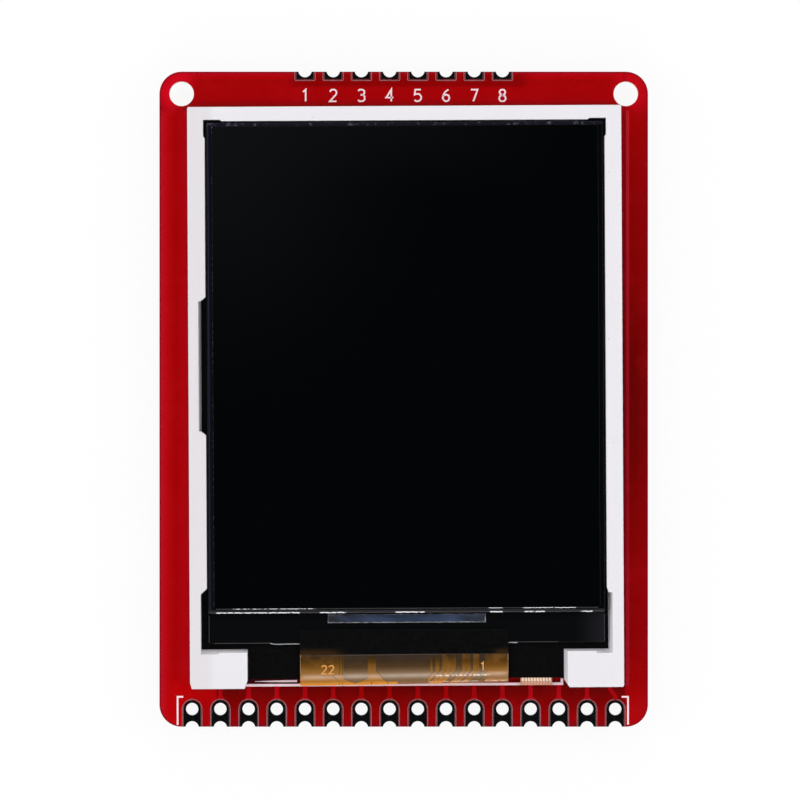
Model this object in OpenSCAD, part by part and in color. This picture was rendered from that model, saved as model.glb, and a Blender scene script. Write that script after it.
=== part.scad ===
// Two-inch colour TFT display module.
// A bare liquid-crystal cell in a moulded backlight frame is taped to a red carrier board.
// Its flex folds round the frame's lower rail and is soldered to the board under the display.
// The board has a pin-header row, two castellated edges and, on its back, the card socket,
// the level shifters and the supply parts, on which the module rests.
// X runs across the board, +Y towards the short castellated row, +Z out of the display.

/* [Board] */
// Board width
board_w = 44; // [43.6:0.1:46]
// Board length
board_l = 59; // [58.6:0.1:62]
// Board thickness
board_t = 1.6; // [1:0.2:2]
// Corner radius of the board
corner_r = 2; // [1:0.1:2.4]
// Radius of the two mounting holes
mount_r = 1.1; // [0.8:0.1:1.3]
// Mounting hole's distance from the side and end edges
mount_in = 2; // [1.8:0.1:2.2]

/* [Header and castellated edges] */
// Pins in the long row
header_n = 16; // [8:1:16]
// Notches in the short row
edge_n = 8; // [4:1:12]
// Finished radius of a header hole
header_r = 0.55; // [0.45:0.05:0.6]
// Distance of the header holes from the edge
header_in = 1.6; // [1.6:0.05:1.8]
// Finished radius of an edge notch
notch_r = 0.6; // [0.45:0.05:0.6]
// How far a notch's centre lies outside the edge
notch_out = 0.1; // [0:0.05:0.2]
// Width of a land
land_w = 1.6; // [1.4:0.05:1.8]

/* [Backlight frame] */
// Frame width
frame_w = 39; // [39:0.1:40]
// Frame length
frame_l = 52.3; // [52.3:0.1:53]
// Frame height
frame_h = 2.05; // [1.9:0.05:2.3]
// Thickness of the foam tape under the frame
foam_t = 0.3; // [0.2:0.05:0.6]
// Sideways offset of the frame's centre from the board's
frame_dx = 0.17; // [-0.3:0.01:0.3]
// Lengthwise offset of the frame's centre from the board's
frame_dy = 0.2; // [-0.3:0.01:0.3]
// Small turn at which the frame was stuck down, in degrees
glue_skew = 0.3; // [-0.5:0.1:0.5]
// Width of the left rail
rail_left = 1.55; // [1.3:0.05:1.6]
// Width of the right rail
rail_right = 1.5; // [1.3:0.05:1.6]
// Width of the top rail
rail_top = 1.28; // [1.1:0.02:1.4]

/* [Liquid-crystal cell] */
// Width of both glasses
glass_w = 35.6; // [35:0.1:35.6]
// Length of the rear glass, which carries the ledge
array_l = 46.8; // [46:0.1:46.8]
// Ledge of the rear glass beyond the front one
ledge = 2.75; // [2.5:0.05:2.9]
// Thickness of each glass
glass_t = 0.4; // [0.3:0.05:0.45]
// Thickness of a polarizing film
polarizer_t = 0.13; // [0.1:0.01:0.15]
// Length of the driver chip
driver_w = 14.05; // [12:0.05:16]

/* [Display flex] */
// Width of the flex
flex_w = 18.7; // [16:0.1:20]
// Thickness of the flex
flex_t = 0.1; // [0.08:0.01:0.12]
// Solder fingers at the flex's tail
flex_n = 22; // [16:1:22]

/* [Back parts] */
// Height of the card socket and the level shifters, the parts that it rests on
back_h = 1.85; // [1.75:0.05:2]
// Width of the card socket
socket_w = 14; // [13.6:0.1:14.4]
// Length of the card socket
socket_l = 14.6; // [14.2:0.1:15]

/* [Hidden] */
$fn = 48;
eps = 0.02;
// Pitch of both pin rows
pitch = 2.54;
plating = 0.05;
land_t = 0.05;

// Heights of the board's two faces; the back parts stand on z = 0
board_z = back_h;
board_top = board_z + board_t;
mount_x = board_w / 2 - mount_in;
mount_y = board_l / 2 - mount_in;
header_y = header_in - board_l / 2;
edge_land_l = 0.7;
// Foam strips under the display: left sides, width, and low and top ends
foam_x = [-18.6, 11.6];
foam_w = 7;
foam_y = [-24.6, 25];

// Layers of the display, as heights above the back of its frame
sheet_t = 0.1;
guide_t = 0.65;
film_t = 0.07;
tape_t = 0.06;
guide_z = sheet_t;
diffuser_z = guide_z + guide_t;
lower_prism_z = diffuser_z + sheet_t - eps;
upper_prism_z = lower_prism_z + film_t;
shelf_z = upper_prism_z + film_t;
rear_film_z = shelf_z + tape_t;
array_z = rear_film_z + polarizer_t;
filter_z = array_z + glass_t;
front_film_z = filter_z + glass_t;

// Outline of the frame's opening
half_w = frame_w / 2;
half_l = frame_l / 2;
open_left = rail_left - half_w;
open_right = half_w - rail_right;
open_top = half_l - rail_top;
foot_left = -14.35;
foot_right = 14.15;
foot_top_left = -22.65;
foot_top_right = -22.75;
rail_end = -25.3;
foot_cut = [0.25, 0.7];
foot_cut_right = [0.45, 0.65];
clip_top = 8.7;
clip_low = -3;
clip_deep = 0.45;
clip_slant = 0.35;
key_top = -17.65;
key_left = open_left - 0.55;
key_right = open_right + 0.15;
key_slant = 0.5;
foot_corner = 1.6;
corner_pocket = 1.5;
corner_deep = 0.13;
shelf_w = 1.05;
window_low = -20.9;
window_top = open_top - 0.97;
window_left = open_left + shelf_w;
window_right = open_right - shelf_w;
fit_gap = 0.1;

// The cell, with the films' insets from its edges
cell_top = 24.7;
film_w = 34.7;
film_x = 0.05;
film_top = cell_top - 0.3;
film_back = 0.4;
rear_film_w = 34.4;
rear_film_top = cell_top - 0.5;
rear_film_low = 1.2;
rim_w = 1.5;
array_low = cell_top - array_l;
filter_low = array_low + ledge;
driver_d = 0.65;
driver_t = 0.3;
driver_y = filter_low - 0.2 - driver_d;

// The display flex and its fold round the lower rail
flex_x = -9.6;
bond_y = driver_y - 0.7;
fold_y = -24.85;
flex_low = land_t - foam_t;
flex_high = filter_z;
fold_out = (flex_high + flex_t - flex_low) / 2;
fold_z = flex_low + fold_out;
tail_y = -18.4;
flex_pitch = 0.8;
flex_pad = [0.4, 2.2];
pad_show = 0.5;
cover_t = 0.06;
cover_low = -23.1;

// The backlight's lamps and their flex
lamp_size = [3.8, 1, 0.6];
lamp_gap = 0.05;
lamp_n = 4;
lamp_step = 8.4;
lamp_flex_x = 16;
lamp_flex_y = [-24.2, -21];
lamp_tail_x = [10.2, 13.05];
lamp_tail_y = -26;

// Places of the back parts: centre and turn
socket_at = [14, 12];
shifter_at = [[-10.6, -15.2], [4.4, -15.2]];
regulator_at = [-13.2, 14.6];
transistor_at = [-1.6, 3.2];
capacitors_at = [[-13.2, 9.1, 0], [-13.2, 20.2, 0], [-16.9, -9.6, 90], [-1.9, -9.6, 90], [-6.2, 14.6, 90]];
resistors_at = [[1.6, 3.2, 90], [3.2, 3.2, 90], [-4.6, 3.2, 90], [10.9, -15.2, 90], [12.5, -15.2, 90]];
arrays_at = [[-1.3, 12.2, 90], [-1.3, 17.2, 90]];

// X of pin i in a row of n pins centred on the board
function pin_x(i, n) = (i - (n - 1) / 2) * pitch;

// A box from two corners
module slab(low, high) {
    translate(low) cube(high - low);
}

// A rectangle with round corners, from two bars and four discs
module round_rect(w, l, r) {
    square([w - 2 * r, l], center = true);
    square([w, l - 2 * r], center = true);
    for (x = [-1, 1], y = [-1, 1])
        translate([x * (w / 2 - r), y * (l / 2 - r)]) circle(r);
}

// A profile drawn in Y and Z, run along X from x0 to x1
module along_x(x0, x1) {
    translate([x0, 0, 0]) rotate([90, 0, 90]) linear_extrude(x1 - x0) children();
}

// Sets a display part down on the board, with z = 0 at the back of the frame
module on_display() {
    translate([frame_dx, frame_dy, board_top + foam_t]) rotate([0, 0, glue_skew]) children();
}

// Hangs a part under the board, with its own +Z away from the board
module on_back(at, turn = 0) {
    translate([at[0], at[1], board_z]) rotate([180, 0, turn]) children();
}

// ---- The board and its plated lands ----

module circuit_board() {
    color("crimson") translate([0, 0, board_z]) difference() {
        linear_extrude(board_t) round_rect(board_w, board_l, corner_r);
        for (x = [-mount_x, mount_x]) drill([x, mount_y], mount_r);
        for (i = [0 : header_n - 1]) {
            drill([pin_x(i, header_n), header_y], header_r + plating);
            drill([pin_x(i, header_n), -board_l / 2 - notch_out], notch_r + plating);
        }
        for (i = [0 : edge_n - 1])
            drill([pin_x(i, edge_n), board_l / 2 + notch_out], notch_r + plating);
    }
}

// A hole straight through the board
module drill(at, r) {
    translate([at[0], at[1], -1]) cylinder(r = r, h = board_t + 2);
}

// A land on both faces, with its half barrel in the edge at y = 0; the board lies towards +Y
module edge_land(depth, hole_y = undef) {
    difference() {
        union() {
            for (z = [board_z - land_t, board_top])
                translate([0, 0, z]) linear_extrude(land_t) land_outline(depth, hole_y);
            translate([0, 0, board_z]) linear_extrude(board_t) intersection() {
                translate([0, -notch_out]) circle(notch_r + plating);
                translate([-notch_r * 2, 0]) square(notch_r * 4);
            }
            if (!is_undef(hole_y))
                translate([0, hole_y, board_z]) cylinder(r = header_r + plating, h = board_t);
        }
        translate([0, -notch_out, 0]) cylinder(r = notch_r, h = board_top + 1);
        if (!is_undef(hole_y)) translate([0, hole_y, 0]) cylinder(r = header_r, h = board_top + 1);
    }
}

// Outline of a land: a plain rectangle, or one with a round end about its hole
module land_outline(depth, hole_y) {
    translate([-land_w / 2, 0]) square([land_w, depth]);
    if (!is_undef(hole_y)) translate([0, hole_y]) circle(land_w / 2);
}

module header_pads() {
    color("dimgray") for (i = [0 : header_n - 1])
        translate([pin_x(i, header_n), -board_l / 2, 0]) edge_land(header_in, header_in);
}

module edge_pads() {
    color("dimgray") for (i = [0 : edge_n - 1])
        translate([pin_x(i, edge_n), board_l / 2, 0]) rotate([0, 0, 180]) edge_land(edge_land_l);
}

// Lands under the display to which the flex's tail is soldered
module flex_pads() {
    color("silver") on_display() for (i = [0 : flex_n - 1])
        translate([flex_x + flex_w / 2 + (i - (flex_n - 1) / 2) * flex_pitch, tail_y + pad_show, -foam_t])
            slab([-flex_pad[0] / 2, -flex_pad[1], 0], [flex_pad[0] / 2, 0, land_t]);
}

// ---- The backlight unit ----

module mounting_tape() {
    color("gainsboro") on_display() for (x = foam_x)
        slab([x, foam_y[0], -foam_t], [x + foam_w, foam_y[1], 0]);
}

// Outline of the frame: a plain rectangle with two feet below the lower rail
module frame_outline() {
    polygon([[-half_w + 0.16, -half_l], [foot_left - foot_cut[0], -half_l],
        [foot_left, -half_l + foot_cut[1]], [foot_left, rail_end], [foot_right, rail_end],
        [foot_right, -half_l + foot_cut_right[1]], [foot_right + foot_cut_right[0], -half_l],
        [half_w - 0.1, -half_l], [half_w, -half_l + 0.15], [half_w, half_l - 0.1],
        [half_w - 0.1, half_l], [-half_w + 0.1, half_l], [-half_w, half_l - 0.1],
        [-half_w, -half_l + 0.55]]);
}

// Outline of the pocket that holds the cell, drawn in by gap all round, and cut off at y = low:
// a clip recess in the left rail, a key recess by each foot and relieved top corners
module cell_pocket(gap = 0, low = -30) {
    l = open_left + gap;
    r = open_right - gap;
    t = open_top - gap;
    pocket_y = open_top - corner_pocket;
    polygon([[foot_left + gap, low], [foot_right - gap, low], [foot_right - gap, foot_top_right + gap],
        [key_right - gap, foot_top_right + gap], [key_right - gap, key_top], [r, key_top + key_slant],
        [r, pocket_y], [r + corner_deep, pocket_y + corner_deep], [r + corner_deep, t + corner_deep],
        [r - corner_pocket + corner_deep, t + corner_deep], [r - corner_pocket, t],
        [l + corner_pocket, t], [l + corner_pocket - corner_deep, t + corner_deep],
        [l - corner_deep, t + corner_deep], [l - corner_deep, pocket_y + corner_deep], [l, pocket_y],
        [l, clip_top + clip_slant], [l - clip_deep, clip_top], [l - clip_deep, clip_low],
        [l, clip_low - clip_slant], [l, key_top + key_slant], [key_left + gap, key_top],
        [key_left + gap, foot_top_left + gap], [foot_left + gap, foot_top_left + gap]]);
}

// Cuts a sloped face off a wall: from the point at, along the direction turn, with the wall on
// the left; wide at the top, running out at depth below the frame's top
module wall_slope(at, turn, length, wide, depth) {
    translate([at[0], at[1], frame_h - depth]) rotate([0, 0, turn]) along_x(0, length)
        polygon([[-0.3, 0], [0, 0], [wide, depth], [wide, depth + 1], [-0.3, depth + 1]]);
}

// Place of lamp i along the lower rail
function lamp_x(i) = (i - (lamp_n - 1) / 2) * lamp_step;

module backlight_frame() {
    color("white") on_display() difference() {
        linear_extrude(frame_h) frame_outline();
        translate([0, 0, shelf_z]) linear_extrude(frame_h) cell_pocket();
        slab([window_left, window_low, -1], [window_right, window_top, frame_h]);
        // recess for the lamps' flex, and a pocket for each lamp
        slab([-lamp_flex_x - fit_gap, lamp_flex_y[0] - fit_gap, -1],
            [lamp_flex_x + fit_gap, window_low + eps, sheet_t]);
        slab([lamp_tail_x[0] - fit_gap, rail_end - 1, -1],
            [lamp_tail_x[1] + fit_gap, lamp_flex_y[0], sheet_t]);
        for (i = [0 : lamp_n - 1]) translate([lamp_x(i), window_low, 0])
            slab([-lamp_size[0] / 2 - lamp_gap, -lamp_size[1] - 2 * lamp_gap, -1],
                [lamp_size[0] / 2 + lamp_gap, eps, sheet_t + lamp_size[2] + lamp_gap]);
        // sloped faces inside the clip recess and the right key recess
        wall_slope([open_left - clip_deep, clip_low], 90, clip_top - clip_low, 0.2, 0.9);
        wall_slope([key_right, key_top], -90, key_top - foot_top_right + 0.3, 0.35, 1);
        // sloped faces along both feet, deeper in the outer corners
        wall_slope([foot_left, foot_top_left], 180, foot_left - key_left, 0.25, 1);
        wall_slope([key_left + foot_corner, foot_top_left], 180, foot_corner, 0.4, 0.95);
        wall_slope([key_right, foot_top_right], 180, key_right - foot_right, 0.15, 1);
        wall_slope([key_right, foot_top_right], 180, foot_corner - 0.5, 0.35, 0.95);
        wall_slope([foot_right, foot_top_right], -90, half_l, 0.3, 1);
    }
}

module reflector_sheet() {
    color("whitesmoke") on_display() film(0, sheet_t, 0);
}

module light_guide() {
    color([0.85, 0.95, 1, 0.5]) on_display() film(guide_z, guide_t, 0.02);
}

module diffuser_sheet() {
    color("white") on_display() film(diffuser_z, sheet_t - eps, 0.05);
}

module lower_prism_sheet() {
    color("lightgray") on_display() film(lower_prism_z, film_t, 0.05);
}

module upper_prism_sheet() {
    color("lightgray") on_display() film(upper_prism_z, film_t, 0.05);
}

// A sheet in the frame's window, standing back from it by the fit gap and inset
module film(z, t, inset) {
    g = fit_gap + inset;
    slab([window_left + g, window_low + g, z], [window_right - g, window_top - g, z + t]);
}

module lamp_flex() {
    color("goldenrod") on_display() union() {
        slab([-lamp_flex_x, lamp_flex_y[0], 0], [lamp_flex_x, lamp_flex_y[1], sheet_t]);
        slab([lamp_tail_x[0], lamp_tail_y, 0], [lamp_tail_x[1], lamp_flex_y[0], sheet_t]);
    }
}

module backlight_lamps() {
    color("lightyellow") on_display() for (i = [0 : lamp_n - 1])
        slab([lamp_x(i) - lamp_size[0] / 2, window_low - lamp_size[1] - lamp_gap, sheet_t],
            [lamp_x(i) + lamp_size[0] / 2, window_low - lamp_gap, sheet_t + lamp_size[2]]);
}

// Black tape on the frame's shelf and lower rail; it hides the backlight's rim
module rim_tape() {
    color("black") on_display() translate([0, 0, shelf_z]) linear_extrude(tape_t) difference() {
        cell_pocket(0.04, rail_end);
        translate([0, (cell_top + filter_low) / 2])
            square([glass_w - 2 * rim_w, cell_top - filter_low - 2 * rim_w], center = true);
    }
}

// ---- The liquid-crystal cell ----

module rear_polarizer() {
    color("black") on_display() slab([-rear_film_w / 2, filter_low - rear_film_low, rear_film_z],
        [rear_film_w / 2, rear_film_top, array_z]);
}

module array_glass() {
    color([0.1, 0.1, 0.12, 0.8]) on_display()
        slab([-glass_w / 2, array_low, array_z], [glass_w / 2, cell_top, filter_z]);
}

module filter_glass() {
    color([0.1, 0.1, 0.12, 0.8]) on_display()
        slab([-glass_w / 2, filter_low, filter_z], [glass_w / 2, cell_top, front_film_z]);
}

module front_polarizer() {
    low = filter_low + film_back;
    color("black") on_display() translate([film_x, (film_top + low) / 2, front_film_z])
        linear_extrude(polarizer_t) round_rect(film_w, film_top - low, 0.2);
}

module driver_chip() {
    color("slategray") on_display()
        slab([-driver_w / 2, driver_y, filter_z], [driver_w / 2, driver_y + driver_d, filter_z + driver_t]);
}

// ---- The display flex, folded back under the frame ----

// Section of the flex: along the ledge, half a turn round the rail, and back over the lands
module flex_section() {
    translate([fold_y, flex_high]) square([bond_y - fold_y, flex_t]);
    translate([fold_y, flex_low]) square([tail_y - fold_y, flex_t]);
    translate([fold_y, fold_z]) intersection() {
        difference() {
            circle(fold_out);
            circle(fold_out - flex_t);
        }
        translate([-2 * fold_out, -fold_out]) square(2 * fold_out);
    }
}

module display_flex() {
    color("darkgoldenrod") on_display() along_x(flex_x, flex_x + flex_w) flex_section();
}

module flex_cover() {
    color("black") on_display() translate([flex_x, 0, flex_high + flex_t])
        slab([0, cover_low, 0], [flex_w, bond_y, cover_t]);
}

// ---- The card socket: its mouth is at local +Y, the card slides in towards -Y ----

socket_sheet = 0.2;
socket_floor = 0.5;
card_w = 11.2;
contact_n = 8;
contact_pitch = 1.1;
contact_w = 0.6;
contact_t = 0.15;
shell_y = [-6.2, 7.3];

// X of card contact i
function contact_x(i) = (i - (contact_n - 1) / 2) * contact_pitch - 0.6;

module in_socket() {
    on_back(socket_at, 90) children();
}

// Moulded tray: floor with a slot for each contact, two side guides and the rear block
module socket_base() {
    side = socket_w / 2 - socket_sheet;
    guide_w = side - card_w / 2;
    color("#202020") in_socket() difference() {
        union() {
            slab([-side, -socket_l / 2, 0], [side, 6.7, socket_floor]);
            for (s = [-1, 1]) translate([s * (side + card_w / 2) / 2, 0, 0])
                slab([-guide_w / 2, -socket_l / 2, 0], [guide_w / 2, 6.2, back_h - socket_sheet]);
            slab([-side, -socket_l / 2, 0], [side, -6.3, back_h - socket_sheet]);
        }
        for (i = [0 : contact_n - 1])
            translate([contact_x(i), 0, 0])
                slab([-contact_w / 2, -8, -1], [contact_w / 2, 1.2, socket_floor + 0.4]);
        slab([-4.4, 3.4, -1], [3.2, 7, socket_floor + 1]);
    }
}

// Drawn steel cover: roof with windows and a finger recess, side walls and four solder tabs
module socket_shell() {
    w = socket_w / 2;
    roof = back_h - socket_sheet;
    color("silver") in_socket() difference() {
        union() {
            slab([-w, shell_y[0], roof], [w, shell_y[1], back_h]);
            for (s = [-1, 1]) translate([s * (w - socket_sheet / 2), 0, 0])
                slab([-socket_sheet / 2, shell_y[0], 0], [socket_sheet / 2, shell_y[1] - 0.6, back_h]);
            for (s = [-1, 1], y = [-5, 5.1]) translate([s * (w + 0.2), y, 0])
                slab([-0.4, -0.6, 0], [0.4, 0.6, socket_sheet]);
        }
        // finger recess at the mouth
        translate([0, shell_y[1] + 0.9, roof - 1]) cylinder(r = 3.2, h = 3);
        // windows over the contacts
        for (x = [-3.4, 1.2]) translate([x, -2.4, roof - 1]) linear_extrude(3) round_rect(2.2, 3.4, 0.3);
        // slots that free two leaf springs on the roof
        for (x = [-5.6, -4.5, 4.5, 5.6])
            translate([x, 1.9, roof - 1]) linear_extrude(3) round_rect(0.3, 4.6, 0.14);
        for (x = [-5.05, 5.05])
            translate([x, -0.3, roof - 1]) linear_extrude(3) round_rect(1.3, 0.3, 0.14);
    }
}

// Section of a contact: solder foot behind the tray, a run along the floor and a sprung nose
module contact_section() {
    translate([-8.1, 0]) square([8.5, contact_t]);
    polygon([[0.25, 0], [0.4, 0], [0.4, contact_t], [-2.9, 0.95], [-3.4, 0.8], [-3.35, 0.66],
        [-2.9, 0.8], [0.2, 0.05]]);
}

module socket_contacts() {
    color("gold") in_socket() for (i = [0 : contact_n - 1])
        along_x(contact_x(i) - contact_w / 2, contact_x(i) + contact_w / 2) contact_section();
}

// ---- Moulded chips with gull-wing leads ----

// A moulded body whose four sides slope away from a flat band at half height, band high
module moulded_block(size, draft, band) {
    intersection() {
        along_x(-size[0] / 2, size[0] / 2) parting_section(size[1], size[2], draft, band);
        rotate([0, 0, 90]) along_x(-size[1] / 2, size[1] / 2) parting_section(size[0], size[2], draft, band);
    }
}

module parting_section(w, h, draft, band) {
    half = [[w / 2 - draft, 0], [w / 2, (h - band) / 2], [w / 2, (h + band) / 2], [w / 2 - draft, h]];
    polygon([each half, for (i = [3 : -1 : 0]) [-half[i][0], half[i][1]]]);
}

// Section of a lead that leaves the body at y = start and z = high, and ends at y = reach
module gull_section(start, reach, high, t, foot) {
    knee = start + 0.3;
    heel = reach - foot;
    polygon([[start, high - t / 2], [knee - t / 2, high - t / 2], [heel - t / 2, 0], [reach, 0],
        [reach, t], [heel + t / 2, t], [knee + t / 2, high + t / 2], [start, high + t / 2]]);
}

shifter_body = [7.2, 5.3];
shifter_rise = 0.1;
shifter_n = 20;
shifter_pitch = 0.65;
lead_t = 0.15;

module shifter_bodies() {
    color("#252525") for (at = shifter_at) on_back(at) translate([0, 0, shifter_rise])
        moulded_block([shifter_body[0], shifter_body[1], back_h - shifter_rise], 0.12, lead_t);
}

module shifter_leads() {
    per_side = shifter_n / 2;
    mid = shifter_rise + (back_h - shifter_rise) / 2;
    form = [shifter_body[1] / 2, 3.9, mid, lead_t, 0.7];
    color("silver") for (at = shifter_at, turn = [0, 180], i = [0 : per_side - 1])
        on_back(at) rotate([0, 0, turn]) lead((i - (per_side - 1) / 2) * shifter_pitch, 0.28, form);
}

// One gull-wing lead at x, of the width wide; the form lists start, reach, height, gauge and foot
module lead(x, wide, form) {
    along_x(x - wide / 2, x + wide / 2) gull_section(form[0], form[1], form[2], form[3], form[4]);
}

regulator_size = [6.5, 3.5, 1.55];

module regulator_body() {
    color("#252525") on_back(regulator_at) translate([0, 0, 0.08])
        moulded_block(regulator_size, 0.15, 0.25);
}

module regulator_leads() {
    form = [regulator_size[1] / 2, 3.5, 0.08 + regulator_size[2] / 2, 0.25, 0.8];
    color("silver") on_back(regulator_at) {
        for (x = [-2.3, 0, 2.3]) lead(x, 0.7, form);
        rotate([0, 0, 180]) lead(0, 3, form);
    }
}

transistor_size = [2.9, 1.3, 1];

module transistor_body() {
    color("#252525") on_back(transistor_at) translate([0, 0, 0.05])
        moulded_block(transistor_size, 0.08, 0.12);
}

module transistor_leads() {
    form = [transistor_size[1] / 2, 1.3, 0.05 + transistor_size[2] / 2, 0.12, 0.3];
    color("silver") on_back(transistor_at) {
        for (x = [-0.95, 0.95]) lead(x, 0.4, form);
        rotate([0, 0, 180]) lead(0, 0.4, form);
    }
}

// ---- Chip capacitors, resistors and resistor arrays ----

capacitor_size = [2, 1.25, 1.1];
resistor_size = [1.6, 0.8, 0.45];
array_size = [3.2, 1.6, 0.5];

// The middle of a chip part, a little slimmer than its metal ends
module chip_middle(size, end) {
    slab([-size[0] / 2 + end, -size[1] / 2 + eps, 0.03],
        [size[0] / 2 - end, size[1] / 2 - eps, size[2] - eps]);
}

module chip_ends(size, end) {
    for (s = [-1, 1]) translate([s * (size[0] - end) / 2, 0, 0])
        slab([-end / 2, -size[1] / 2, 0], [end / 2, size[1] / 2, size[2]]);
}

module capacitor_bodies() {
    color("tan") for (at = capacitors_at) on_back(at, at[2]) chip_middle(capacitor_size, 0.4);
}

module capacitor_ends() {
    color("silver") for (at = capacitors_at) on_back(at, at[2]) chip_ends(capacitor_size, 0.4);
}

module resistor_bodies() {
    color("black") for (at = resistors_at) on_back(at, at[2]) chip_middle(resistor_size, 0.3);
}

module resistor_ends() {
    color("silver") for (at = resistors_at) on_back(at, at[2]) chip_ends(resistor_size, 0.3);
}

// A resistor array is a slab with four metal ends down each long side
module array_bodies() {
    half = [array_size[0] / 2, array_size[1] / 2 - 0.3];
    color("black") for (at = arrays_at) on_back(at, at[2])
        slab([-half[0], -half[1], 0.03], [half[0], half[1], array_size[2]]);
}

module array_ends() {
    color("silver") for (at = arrays_at, s = [-1, 1], i = [0 : 3]) on_back(at, at[2])
        translate([(i - 1.5) * 0.8, s * (array_size[1] / 2 - 0.15), 0])
            slab([-0.25, -0.15, 0], [0.25, 0.15, array_size[2]]);
}

circuit_board();
header_pads();
edge_pads();
flex_pads();
mounting_tape();
backlight_frame();
reflector_sheet();
light_guide();
diffuser_sheet();
lower_prism_sheet();
upper_prism_sheet();
lamp_flex();
backlight_lamps();
rim_tape();
rear_polarizer();
array_glass();
filter_glass();
front_polarizer();
driver_chip();
display_flex();
flex_cover();
socket_base();
socket_shell();
socket_contacts();
shifter_bodies();
shifter_leads();
regulator_body();
regulator_leads();
transistor_body();
transistor_leads();
capacitor_bodies();
capacitor_ends();
resistor_bodies();
resistor_ends();
array_bodies();
array_ends();
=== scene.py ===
"""Looks of a two-inch colour display module: a dark cell in a white moulded frame on a red carrier board."""

import math
from functools import reduce

import bmesh
import bpy
import numpy as np
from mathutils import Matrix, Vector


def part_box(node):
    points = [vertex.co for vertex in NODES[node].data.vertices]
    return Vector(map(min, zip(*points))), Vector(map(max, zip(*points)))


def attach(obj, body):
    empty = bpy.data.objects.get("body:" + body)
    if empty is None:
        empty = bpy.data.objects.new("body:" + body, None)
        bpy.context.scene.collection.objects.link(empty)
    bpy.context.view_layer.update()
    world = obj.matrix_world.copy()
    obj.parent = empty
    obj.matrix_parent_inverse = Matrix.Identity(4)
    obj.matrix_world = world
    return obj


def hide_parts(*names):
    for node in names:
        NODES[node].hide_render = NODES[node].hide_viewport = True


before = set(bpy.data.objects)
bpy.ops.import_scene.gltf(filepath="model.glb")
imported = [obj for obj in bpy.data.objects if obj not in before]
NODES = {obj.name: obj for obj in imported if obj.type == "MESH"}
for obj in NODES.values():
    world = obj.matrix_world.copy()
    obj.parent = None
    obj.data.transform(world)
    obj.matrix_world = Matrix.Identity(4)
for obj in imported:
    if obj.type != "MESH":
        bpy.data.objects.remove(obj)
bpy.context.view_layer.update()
MM = 0.001


def node_box(node):
    """(lowest, highest) corner of a CAD node in mm, to the micrometre."""
    return tuple(np.round(np.array(corner) / MM, 3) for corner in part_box(node))


# The board's faces, right side and upper end in mm, and the centres of its round corners; the two upper ones
# are also those of the mounting holes
(_, _, BOARD_LOW), (BOARD_SIDE, BOARD_END, BOARD_TOP) = node_box("circuit_board")
CORNER_RADIUS = 2.0
CORNER_X, CORNER_Y = BOARD_SIDE - CORNER_RADIUS, BOARD_END - CORNER_RADIUS
# Where the display was stuck down, and the small turn it got; its own heights count from its back
GLUE_SKEW = math.radians(0.3)
DISPLAY_AT = np.array([0.17, 0.20, node_box("mounting_tape")[1][2]])
ARRAY_TOP, FILTER_TOP, FLEX_TOP = (
    node_box(node)[1][2] - DISPLAY_AT[2] for node in ("array_glass", "filter_glass", "display_flex"))
# Sides of the display's flex
FLEX_LEFT, FLEX_RIGHT = -9.6, 9.1


def row(count, pitch):
    """The places of a row, one pitch apart, about its middle."""
    return [(i - (count - 1) / 2) * pitch for i in range(count)]


HEADER_X, EDGE_X = row(16, 2.54), row(8, 2.54)
# Parts on the back, as X, Y and turn in degrees, and the places of the feet along those with rows of them
SHIFTERS, SHIFTER_FEET = [(-10.6, -15.2, 0), (4.4, -15.2, 0)], row(10, 0.65)
ARRAYS, ARRAY_FEET = [(-1.3, 12.2, 90), (-1.3, 17.2, 90)], row(4, 0.8)
SOCKET, SOCKET_FEET = (14.0, 12.0, 90), [y - 0.6 for y in row(8, 1.1)]
REGULATOR, TRANSISTOR = (-13.2, 14.6, 0), (-1.6, 3.2, 0)
CAPACITORS = [(-13.2, 9.1, 0), (-13.2, 20.2, 0), (-16.9, -9.6, 90), (-1.9, -9.6, 90), (-6.2, 14.6, 90)]
RESISTORS = [(1.6, 3.2, 90), (3.2, 3.2, 90), (-4.6, 3.2, 90), (10.9, -15.2, 90), (12.5, -15.2, 90)]


# ---- Shader expressions ----

def linear(red, green, blue):
    """The linear colour of one written as 0 to 255."""
    return tuple(c / 12.92 / 255 if c < 11 else ((c / 255 + 0.055) / 1.055) ** 2.4
                 for c in (red, green, blue)) + (1.0,)


def maths(operation, swapped=False):
    """A method that adds one Math node, with its inputs swapped for an operator's right-hand form."""
    def add_node(level, *others):
        inputs = (*others, level) if swapped else (level, *others)
        return level.graph.node("Math", *inputs, operation=operation)
    return add_node


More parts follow.
